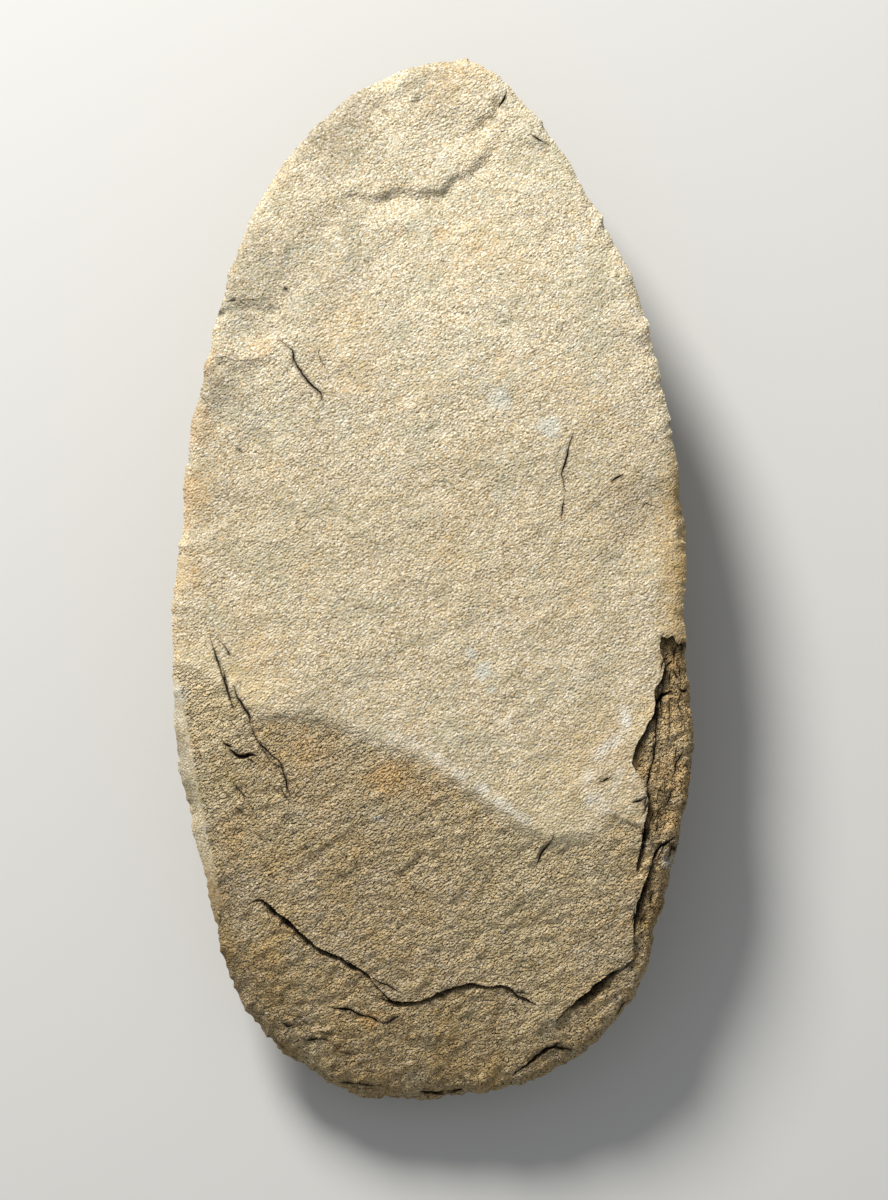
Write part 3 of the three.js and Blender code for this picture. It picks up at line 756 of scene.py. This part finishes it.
def jagged(line, layer):
    """A crack's straight lines between its points, with small crooks of their own."""
    line = evenly(line, LINE_STEP)
    crook = layered(*line[:, :2].T, [(depth, length, layer) for depth, length in CRACK_JAGS])
    line[:, :2] += left_of(line) * crook[:, None]
    return line


def pinched(width, x, y):
    """The width of a crack at each point, with its own narrow and wide places."""
    return width * np.maximum(0, 1 + layered(x, y, WIDTH_CHANGES))


def torn_lines():
    """The short tears of every torn patch."""
    lines = []
    for patch in TORN_PATCHES:
        numbers = seeded_numbers(patch.seed)
        turn = math.radians(patch.turn)
        for _ in range(patch.count):
            along = patch.half_length * (2 * next(numbers) - 1)
            across = patch.half_width * (2 * next(numbers) - 1)
            middle = placed([patch.middle])[0] + (
                along * math.cos(turn) - across * math.sin(turn),
                along * math.sin(turn) + across * math.cos(turn),
            )
            angle = turn + math.radians(patch.spread) * (2 * next(numbers) - 1)
            length = TEAR_LEAST_LENGTH + (1 - TEAR_LEAST_LENGTH) * next(numbers)
            width = patch.width * (TEAR_LEAST_WIDTH + (1 - TEAR_LEAST_WIDTH) * next(numbers))
            way = patch.length * length / 2 * np.array([math.cos(angle), math.sin(angle)])
            tip = width * TEAR_TIP
            tear = [(*(middle - way), tip), (*middle, width), (*(middle + way), tip)]
            lines.append(np.array(tear))
    return lines


SCAR_LINES = [
    jagged(placed(scar.edge), layer) for layer, scar in enumerate(SCARS, start=FIRST_STEP_LAYER)
]
SCAR_PATCHES = [
    np.vstack([line[:, :2], placed(scar.corners)]) for scar, line in zip(SCARS, SCAR_LINES)
]
CRACK_LINES = [
    jagged(line, layer) for layer, line in enumerate(
        [placed(rows) for rows in CRACKS] + torn_lines(), start=FIRST_CRACK_LAYER,
    )
]


def layer_thickness(scar, x, y):
    """How thick the layer was that split off a scar, before any within it."""
    middle_x, middle_y = placed([scar.middle])[0]
    return np.maximum(0, scar.drop + scar.fall[0] * (x - middle_x) + scar.fall[1] * (y - middle_y))


def step_wall(scar, gap):
    """How wide the slope of a step is: steep where it is open, and soft where it is closed."""
    soft = scar.wall * (1 - gap / CLOSED_STEP)
    return np.maximum(STEP_WALL, np.maximum(soft, gap / 2))


def scars_at(x, y):
    """The depth below the unscarred face, and what the scars do to the stone at each point."""
    cut = np.zeros(len(x))
    rough = np.zeros(len(x))
    weathered = np.zeros(len(x))
    shade_and_dirt = np.zeros(len(x))
    groove = np.zeros(len(x))
    tuck = np.zeros((len(x), 2))
    for scar, line, patch in zip(SCARS, SCAR_LINES, SCAR_PATCHES):
        inside = is_inside(patch, x, y)
        distance, way, gap = nearest(line, x, y, reach=SCAR_REACH)
        outer = layer_thickness(scar.within, x, y) if scar.within else 0
        own = layer_thickness(scar, x, y)
        wall = step_wall(scar, gap)
        gap = pinched(gap, x, y)
        down = np.where(wall > 2 * STEP_WALL, smoothed(0, wall, distance), distance / wall)
        depth = np.where(inside, outer + np.clip(down, 0, 1) * own, 0)
        floor = inside & (depth >= cut) & (own > 0)
        cut = np.maximum(cut, depth)
        if scar.drop:
            fade = smoothed(0, FADE_SHARE * wall, distance)
        else:
            fade = smoothed(0, THIN_LAYER, own)
        weathered = np.where(floor, weathered + (scar.weathering_and_shade - weathered) * fade, weathered)
        rough = np.where(floor, rough + (scar.roughness - rough) * fade, rough)
        open_foot = inside & (gap > STEP_WALL)
        tent = np.maximum(0, 1 - np.abs(2 * distance / np.maximum(gap, TINY) - 1))
        tent = np.where(open_foot & np.isfinite(distance), tent, 0)
        groove = np.maximum(groove, CRACK_STEEPNESS * gap * tent)
        direction = way / np.maximum(distance, TINY)[:, None]
        tuck += (STEP_TUCK * gap * tent)[:, None] * direction
        # Painted shade, with some dirt, in the crack at an open step's foot
        dirt_and_shade = 1 - smoothed(0, STEP_DIRT_AND_SHADE, np.abs(distance - gap / 2) - gap / 4)
        dirt_and_shade = np.where(inside & (gap > CLOSED_STEP), dirt_and_shade, 0)
        shade_and_dirt = np.maximum(shade_and_dirt, dirt_and_shade * np.minimum(1, gap * STEP_DARKNESS))
    for line in CRACK_LINES:
        distance, _, width = nearest(line, x, y)
        width = pinched(width, x, y)
        tent = np.maximum(0, 1 - 2 * distance / np.maximum(width, NARROWEST_CRACK))
        groove = np.maximum(groove, CRACK_STEEPNESS * width * tent)
        # Painted shade, with some dirt, along the crack
        dirt_and_shade = 1 - smoothed(0, CRACK_DIRT_AND_SHADE, distance - width / 4)
        shade_and_dirt = np.maximum(shade_and_dirt, dirt_and_shade * np.minimum(1, width * CRACK_DARKNESS))
    return cut, groove, tuck, rough, weathered, shade_and_dirt


def hollows_at(x, y):
    """The depth of the soft hollows and of the soft steps."""
    depth = np.zeros(len(x))
    for middle, half_length, half_width, turn, deep in HOLLOWS:
        middle_x, middle_y = placed([middle])[0]
        angle = math.radians(turn)
        along = (x - middle_x) * math.cos(angle) + (y - middle_y) * math.sin(angle)
        across = (y - middle_y) * math.cos(angle) - (x - middle_x) * math.sin(angle)
        reach = (along / half_length)**2 + (across / half_width)**2
        depth += deep * np.maximum(0, 1 - reach)**2
    for rows in SOFT_STEPS:
        line = curve_through(placed(rows), LINE_STEP)
        distance, way, fall = nearest(line, x, y, reach=SOFT_STEP_LIMIT)
        below = np.where(way[:, 1] > 0, 1.0, 0.0)
        fall = fall * (1 + layered(x, y, SOFT_STEP_CHANGES))
        wall = smoothed(0, SOFT_STEP_WALL, distance)
        depth += below * fall * wall * np.exp(-distance / SOFT_STEP_REACH)
    return depth


def grain_at(x, y, rough):
    """The depth of the stone's own relief, never above the surface it is cut into."""
    depth = np.zeros(len(x))
    for layer, (deep, length, width, turn, gain) in enumerate(RELIEF, start=1):
        form = noise_at(x, y, length, layer, width, math.radians(turn))
        depth += deep * (1 + gain * rough) * (1 + form) / 2
    tear = noise_at(x, y, TEAR_LENGTH, TEAR_LAYER, TEAR_WIDTH, TEAR_ANGLE)
    terrace = TERRACES * (tear + layered(x, y, TEAR_CROOKS))
    level = np.floor(terrace) + smoothed(*TERRACE_RISE, terrace - np.floor(terrace))
    terraced = smoothed(*TERRACED_ROUGHNESS, rough)
    depth += TEAR_DEPTH * terraced * np.clip(0.5 + TERRACE_SHARE * level, 0, 1)
    return depth


def face_skin(x, y):
    """Where the points of the upper sheet come to lie, and the masks for the stone's colours."""
    cut, groove, tuck, rough, weathered, shade_and_dirt = scars_at(x, y)
    ease = smoothed(0, FACE_EASE, way_out(x, y)[1])
    height = unscarred_face(x, y) - cut - hollows_at(x, y) - grain_at(x, y, rough) - groove * ease
    spots = spots_at(x, y)
    masks = {
        # Iron browning and painted shade
        "weathering_and_shade": browning_and_shade_at(x, y, weathered) * (1 - PALE_AND_LIT_SHARE * spots[3]),
        # Painted shade with some dirt
        "shade_and_dirt": np.maximum(shade_and_dirt * ease, spots[2]),
        "rough": rough,
        "vein": veins_at(x, y),
        "rust": spots[0],
        "chalk": spots[1],
        # Paler stone and painted light
        "pale_and_lit": spots[3],
    }
    moved = np.column_stack([x, y]) + tuck * ease[:, None]
    return np.column_stack([moved, height]), masks


def spots_at(x, y):
    """How rust-stained, how chalky, how dark with painted shade and how pale each point is."""
    ragged = 1 + layered(x, y, SPOT_RAGGEDNESS)
    masks = []
    for spots in (RUST_SPOTS, CHALK_SPOTS, DARK_AND_SHADE_SPOTS, PALE_AND_LIT_SPOTS):
        mask = np.zeros(len(x))
        for place, radius, strength in spots:
            middle_x, middle_y = placed([place])[0]
            reach = np.hypot(x - middle_x, y - middle_y) / (radius * ragged)
            mask = np.maximum(mask, strength * (1 - smoothed(*SPOT_EDGE, reach)))
        masks.append(mask)
    return masks


def veins_at(x, y):
    """How strongly a pale vein shows at each point."""
    broken = np.clip(VEIN_FILL + layered(x, y, VEIN_BREAKS), 0, 1)
    mask = np.zeros(len(x))
    for rows in VEINS:
        line = curve_through(placed(rows), LINE_STEP)
        distance, _, strength = nearest(line, x, y)
        mask = np.maximum(mask, np.exp(-(distance / VEIN_WIDTH)**2) * strength * broken)
    return mask


def browning_and_shade_at(x, y, weathered):
    """How brown the stone is.

    It is brown on the scar floors, low on the right margin, over the lower half, most of all
    towards the bit, and on the lower left side. Besides iron staining, this brown is painted shade
    on the scar floors, over the lower half and towards the bit, and a painted shadow on the lower
    left side.
    """
    across, along = shares(x, y)
    zones = [
        weathered,
        BROWN_MARGIN * smoothed(*MARGIN_ACROSS, across) * smoothed(*MARGIN_ALONG, -along),
        BROWN_HALF * smoothed(*HALF_ALONG, -along),
        BROWN_BIT * smoothed(*BIT_ALONG, -along),
        BROWN_SHOULDER * smoothed(*BROWN_ACROSS, -across) * smoothed(*BROWN_ALONG, -along),
    ]
    return np.clip(np.maximum.reduce(zones) * (1 + layered(x, y, BROWN_UNEVENNESS)), 0, 1)


RIM_HEIGHT = face_skin(*RIM.T)[0][:, 2]
RIM_SPAN = round(RIM_LEVEL_LENGTH / RIM_STEP)
RIM_LEVEL = np.mean([np.roll(RIM_HEIGHT, i - RIM_SPAN // 2) for i in range(RIM_SPAN)], axis=0)


def back_skin(x, y):
    """Where the points of the lower sheet come to lie."""
    share, inset = way_out(x, y)
    edge = at_the_rim(x, y, RIM_LEVEL)
    fine = at_the_rim(x, y, RIM_HEIGHT) - edge
    edge += fine * (1 - smoothed(0, BACK_FINE_REACH, inset))
    height = edge - (edge + REST_DEPTH) * (1 - share**BACK_POWER)
    for row in BACK_ROWS:
        in_flake = np.clip(1 - inset / row.start, 0, 1)
        hollow = np.sin(math.pi * in_flake)
        height += row.depth * at_the_rim(x, y, RIM_FLAKES[row.seed]) * hollow
    relief = sum(
        depth * (1 + noise_at(x, y, length, layer)) / 2 for depth, length, layer in BACK_RELIEF
    )
    height += relief * smoothed(0, BACK_EASE, inset)
    return np.column_stack([x, y, np.maximum(0, height)])


def scattered(spacing, seed):
    """Points over the whole outline, about one spacing apart and off any straight row."""
    random = np.random.default_rng(seed)
    row_gap = spacing * math.sqrt(3) / 2
    rows = np.arange(LOW[1], HIGH[1], row_gap)
    columns = np.arange(LOW[0], HIGH[0], spacing)
    x, y = np.meshgrid(columns, rows)
    x = x + np.where(np.arange(len(rows)) % 2, spacing / 2, 0)[:, None]
    nudge = random.uniform(-NUDGE, NUDGE, (2,) + x.shape) * spacing
    x, y = (x + nudge[0]).ravel(), (y + nudge[1]).ravel()
    kept = way_out(x, y)[1] > spacing * RIM_MARGIN
    return np.column_stack([x[kept], y[kept]])


def clear_of(points, others, gap):
    """The points that are at least a gap from all the others."""
    tree = kdtree.KDTree(len(others))
    for i, other in enumerate(others):
        tree.insert((*other, 0), i)
    tree.balance()
    kept = [tree.find((*point, 0))[2] > gap for point in points]
    return points[np.array(kept)]


def beside(line, offsets):
    """The line moved sideways by its offsets, without the loops that this makes at sharp turns."""
    moved = line[:, :2] + left_of(line) * offsets[:, None]
    distance = nearest(line, *moved.T)[0]
    return moved[distance > np.abs(offsets) * KEPT_SHARE]


def runs_of(line, kept):
    """The unbroken parts of a line whose points are kept."""
    breaks = np.nonzero(np.diff(kept.astype(int)))[0] + 1
    parts = zip(np.split(line, breaks), np.split(kept, breaks))
    return [part for part, keep in parts if keep[0] and len(part) > 2]


def guide_lines():
    """The lines that the upper sheet's edges follow: the lips and the bottom of every crack."""
    lines = []
    for line, patch in zip(SCAR_LINES, SCAR_PATCHES):
        # The patch lies on one side of its line, told by points a little way off it
        probe = beside(line, np.full(len(line), PROBE_DISTANCE))
        side = 1 if is_inside(patch, *probe.T).mean() > 0.5 else -1
        open_part = line[:, 2] > CLOSED_STEP / 2
        for run in runs_of(line, open_part):
            gap = pinched(run[:, 2], *run[:, :2].T)
            foot = np.maximum(STEP_WALL, run[:, 2] / 2)
            far_lip = foot + gap / 2 + LIP_MARGIN
            lines += [run[:, :2], beside(run, side * foot), beside(run, side * far_lip)]
    for line in CRACK_LINES:
        half = np.maximum(pinched(line[:, 2], *line[:, :2].T) / 2, NARROWEST_LIP)
        lines += [line[:, :2], beside(line, half), beside(line, -half)]
    return lines


def inside_runs(line):
    """The parts of a line that keep clear of the rim."""
    share, inset = way_out(*line.T)
    return runs_of(line, (inset > RIM_CLEARANCE) & (share < 1))


def sheet(points, lines):
    """Triangles over the whole outline, with edges along the rim and the lines.

    Gives the points, the triangles, and for each point its place on the rim or -1.
    """
    vertices = list(map(tuple, RIM))
    count = len(RIM)
    edges = [(i, (i + 1) % count) for i in range(count)]
    for line in lines:
        first = len(vertices)
        vertices += list(map(tuple, line))
        edges += [(first + i, first + i + 1) for i in range(len(line) - 1)]
    vertices += list(map(tuple, points))
    found, _, triangles, origins, _, _ = delaunay_2d_cdt(vertices, edges, [], 1, MERGE_DISTANCE)
    rim_place = np.array([min([i for i in origin if i < count], default=-1) for origin in origins])
    return np.array([tuple(point) for point in found]), np.array(triangles), rim_place


def stone_mesh():
    """The whole stone as one closed mesh."""
    lines = [run for line in guide_lines() for run in inside_runs(line)]
    taken = np.vstack([RIM] + lines)
    top_points = clear_of(scattered(FACE_STEP, FACE_POINTS_SEED), taken, LINE_CLEARANCE)
    top, top_triangles, top_rim = sheet(top_points, lines)
    top_skin, masks = face_skin(*top.T)
    back_points = scattered(BACK_STEP, BACK_POINTS_SEED)
    back_points = clear_of(back_points, RIM, BACK_STEP * BACK_MARGIN)
    back, back_triangles, back_rim = sheet(back_points, [])
    back_skin_points = back_skin(*back.T)
    # Both sheets share the rim's points
    own = np.nonzero(back_rim < 0)[0]
    number = np.zeros(len(back), dtype=int)
    number[own] = len(top) + np.arange(len(own))
    rim_number = np.zeros(len(RIM), dtype=int)
    rim_number[top_rim[top_rim >= 0]] = np.nonzero(top_rim >= 0)[0]
    number[back_rim >= 0] = rim_number[back_rim[back_rim >= 0]]
    vertices = np.vstack([top_skin, back_skin_points[own]])
    triangles = np.vstack([top_triangles, number[back_triangles][:, ::-1]])
    vertices[:, 2] = np.maximum(0, vertices[:, 2])
    mesh = bpy.data.meshes.new("celt_stone")
    mesh.from_pydata((vertices * METRES).tolist(), [], triangles.tolist())
    mesh.shade_smooth()
    mesh.set_sharp_from_angle(angle=SHARP_ANGLE)
    back_x, back_y = back[own].T
    back_masks = {name: np.zeros(len(own)) for name in masks}
    back_masks["weathering_and_shade"] = browning_and_shade_at(back_x, back_y, np.full(len(own), BACK_WEATHERING))
    back_masks["rough"] += BACK_ROUGHNESS
    for name, values in masks.items():
        attribute = mesh.attributes.new(name, "FLOAT", "POINT")
        whole = np.append(values, back_masks[name])
        attribute.data.foreach_set("value", whole.astype(np.float32))
    mesh.validate()
    return mesh


def linear_colour(hex_colour):
    """An sRGB hex colour as the linear colour that a shader takes."""
    channels = [int(hex_colour[i:i + 2], 16) / 255 for i in (1, 3, 5)]
    return [*(c / 12.92 if c <= 0.04045 else ((c + 0.055) / 1.055)**2.4 for c in channels), 1.0]


def add_node(tree, kind, settings=None, inputs=None):
    """A node with its settings, and its inputs set to values or linked from other sockets."""
    node = tree.nodes.new(kind)
    for name, value in (settings or {}).items():
        setattr(node, name, value)
    for name, value in (inputs or {}).items():
        if isinstance(value, bpy.types.NodeSocket):
            tree.links.new(value, node.inputs[name])
        else:
            node.inputs[name].default_value = value
    return node


def sandstone():
    """Fine-grained sandstone, split along its bedding and weathered.

    Sand grains of quartz, dark mica and iron-stained clay give the eye a dull speckled khaki
    without any shine. Where flakes came off, iron has turned it brown, and the same brown is
    painted shade towards the bit and low on the left. Painted shade, with some dirt, darkens the
    cracks, pale patches are partly painted light, and thin veins of lime show white.
    """
    material = bpy.data.materials.new("weathered split sandstone")
    material.use_nodes = True
    tree = material.node_tree
    tree.nodes.clear()
    place = add_node(tree, "ShaderNodeTexCoord").outputs["Object"]

    # The sand itself: round grains, packed close, with paler and darker drifts between them
    sand = add_node(tree, "ShaderNodeTexVoronoi", inputs={
        "Vector": place,
        "Scale": 1 / (GRAIN_SIZE * METRES),
    })
    drift = add_node(tree, "ShaderNodeTexNoise", inputs={
        "Vector": place,
        "Scale": 1 / (DRIFT_SIZE * METRES),
        "Detail": PATTERN_DETAIL,
        "Roughness": DRIFT_ROUGHNESS,
    }).outputs["Fac"]
    paleness = add_node(tree, "ShaderNodeMapRange", inputs={
        "Value": drift, "From Min": PALE_BEGINS, "From Max": PALE_FULL,
    })
    colour = add_node(tree, "ShaderNodeMix", {"data_type": "RGBA"}, {
        0: paleness.outputs["Result"],
        6: linear_colour(DULL_SAND),
        7: linear_colour(PALE_SAND),
    }).outputs[2]

    # Tints in clouds, and in single grains picked by the chance colour of their cell
    tints = []
    for size, shift, begins, full, strength, tint in CLOUD_TINTS:
        moved = add_node(tree, "ShaderNodeMapping", inputs={
            "Vector": place, "Location": (shift, shift, 0),
        })
        cloud = add_node(tree, "ShaderNodeTexNoise", inputs={
            "Vector": moved.outputs["Vector"],
            "Scale": 1 / (size * METRES),
        })
        tints.append((cloud.outputs["Fac"], begins, full, strength, tint))
    chance = add_node(tree, "ShaderNodeSeparateColor", inputs={"Color": sand.outputs["Color"]})
    tints += [(chance.outputs[channel], *rest) for channel, *rest in GRAIN_TINTS]
    for pattern, begins, full, strength, tint in tints:
        amount = add_node(tree, "ShaderNodeMapRange", {"interpolation_type": "SMOOTHSTEP"}, {
            "Value": pattern, "From Min": begins, "From Max": full, "To Max": strength,
        })
        colour = add_node(tree, "ShaderNodeMix", {"data_type": "RGBA"}, {
            0: amount.outputs["Result"], 6: colour, 7: linear_colour(tint),
        }).outputs[2]

    # Iron has browned the scar floors, some grains more than others, and the same brown is also
    # painted shade towards the bit, over the lower half and low on the left. Stains, lime, dirt,
    # painted shade and painted light lie on top of that.
    uneven = add_node(tree, "ShaderNodeMath", {"operation": "MULTIPLY_ADD"}, {
        0: drift, 1: IRON_GAIN, 2: IRON_LEAST,
    }).outputs["Value"]
    for mask, strength, blend, tint in STONE_STAINS:
        where = add_node(tree, "ShaderNodeAttribute", {"attribute_name": mask})
        amount = add_node(tree, "ShaderNodeMath", {"operation": "MULTIPLY"}, {
            0: where.outputs["Fac"], 1: strength,
        }).outputs["Value"]
        if mask == "weathering_and_shade":
            amount = add_node(tree, "ShaderNodeMath", {"operation": "MULTIPLY"}, {
                0: amount, 1: uneven,
            }).outputs["Value"]
        settings = {"data_type": "RGBA", "blend_type": blend}
        colour = add_node(tree, "ShaderNodeMix", settings, {
            0: amount, 6: colour, 7: linear_colour(tint),
        }).outputs[2]

    # Grit too fine for the mesh: the round grains, and low ridges that climb to the right. Real
    # sand is finer still and is drawn at this size so that it shows.
    turned = add_node(tree, "ShaderNodeMapping", {"vector_type": "TEXTURE"}, {
        "Vector": place,
        "Rotation": (0, 0, GRAIN_ANGLE),
        "Scale": (RIDGE_STRETCH, 1, 1),
    })
    ridges = add_node(tree, "ShaderNodeTexNoise", inputs={
        "Vector": turned.outputs["Vector"],
        "Scale": 1 / (RIDGE_SIZE * METRES),
        "Detail": PATTERN_DETAIL,
    }).outputs["Fac"]
    torn = add_node(tree, "ShaderNodeAttribute", {"attribute_name": "rough"})
    coarseness = add_node(tree, "ShaderNodeMath", {"operation": "MULTIPLY_ADD"}, {
        0: torn.outputs["Fac"], 1: TORN_GAIN, 2: 1.0,
    }).outputs["Value"]
    bumps = []
    for pattern, depth, hollow in (
        (sand.outputs["Distance"], SAND_DEPTH, True), (ridges, RIDGE_DEPTH, False),
    ):
        height = add_node(tree, "ShaderNodeMath", {"operation": "MULTIPLY"}, {
            0: pattern, 1: coarseness,
        })
        below = {"Normal": bumps[-1].outputs["Normal"]} if bumps else {}
        bumps.append(add_node(tree, "ShaderNodeBump", {"invert": hollow}, {
            "Height": height.outputs["Value"],
            "Strength": 1.0,
            "Distance": depth * METRES,
            **below,
        }))
    shader = add_node(tree, "ShaderNodeBsdfPrincipled", inputs={
        "Base Color": colour,
        "Roughness": STONE_ROUGHNESS,
        "Specular IOR Level": STONE_GLEAM,
        "Normal": bumps[-1].outputs["Normal"],
    })
    output = add_node(tree, "ShaderNodeOutputMaterial", inputs={"Surface": shader.outputs["BSDF"]})
    output.is_active_output = True
    return material


def pale_table():
    """A plain pale matte floor that takes the stone's soft shadow."""
    half = 2.0
    corners = [(-half, -half, 0), (half, -half, 0), (half, half, 0), (-half, half, 0)]
    mesh = bpy.data.meshes.new("table")
    mesh.from_pydata(corners, [], [(0, 1, 2, 3)])
    table = bpy.data.objects.new("table", mesh)
    bpy.context.scene.collection.objects.link(table)
    paint = bpy.data.materials.new("matte pale paint")
    paint.use_nodes = True
    shader = paint.node_tree.nodes["Principled BSDF"]
    shader.inputs["Base Color"].default_value = linear_colour("#cbcac6")
    shader.inputs["Roughness"].default_value = 0.9
    mesh.materials.append(paint)


def soft_light():
    """A soft low lamp beyond the butt and to the left, with a dim even fill."""
    lamp = bpy.data.lights.new("key", "AREA")
    lamp.shape = "DISK"
    lamp.size = 0.35
    lamp.energy = 21.3
    lamp.color = (1.0, 0.985, 0.96)
    key = bpy.data.objects.new("key", lamp)
    height = math.radians(31)
    turn = math.radians(-26)
    away = 1.1
    key.location = (
        away * math.cos(height) * math.sin(turn),
        away * math.cos(height) * math.cos(turn),
        away * math.sin(height),
    )
    key.rotation_euler = (-(math.pi / 2 - height), 0, -turn)
    bpy.context.scene.collection.objects.link(key)
    world = bpy.data.worlds.new("studio")
    world.use_nodes = True
    fill = world.node_tree.nodes["Background"]
    fill.inputs["Color"].default_value = (0.93, 0.96, 1.0, 1)
    fill.inputs["Strength"].default_value = 0.35
    bpy.context.scene.world = world


def camera_above():
    """The camera straight above the stone, with the butt at the top of the picture."""
    view_height = 235.7
    centre = (2.16, -3.5)
    rim_level = 20
    above = 1000
    data = bpy.data.cameras.new("camera")
    data.sensor_fit = "VERTICAL"
    data.sensor_height = 24
    data.lens = data.sensor_height * (above - rim_level) / view_height
    camera = bpy.data.objects.new("camera", data)
    camera.location = (centre[0] * METRES, centre[1] * METRES, above * METRES)
    bpy.context.scene.collection.objects.link(camera)
    bpy.context.scene.camera = camera


stone = bpy.data.objects.new("celt_stone", stone_mesh())
bpy.context.scene.collection.objects.link(stone)
stone.data.materials.append(sandstone())
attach(stone, "root")
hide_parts("celt")

camera_above()
soft_light()
pale_table()
bpy.context.scene.view_settings.view_transform = "Standard"
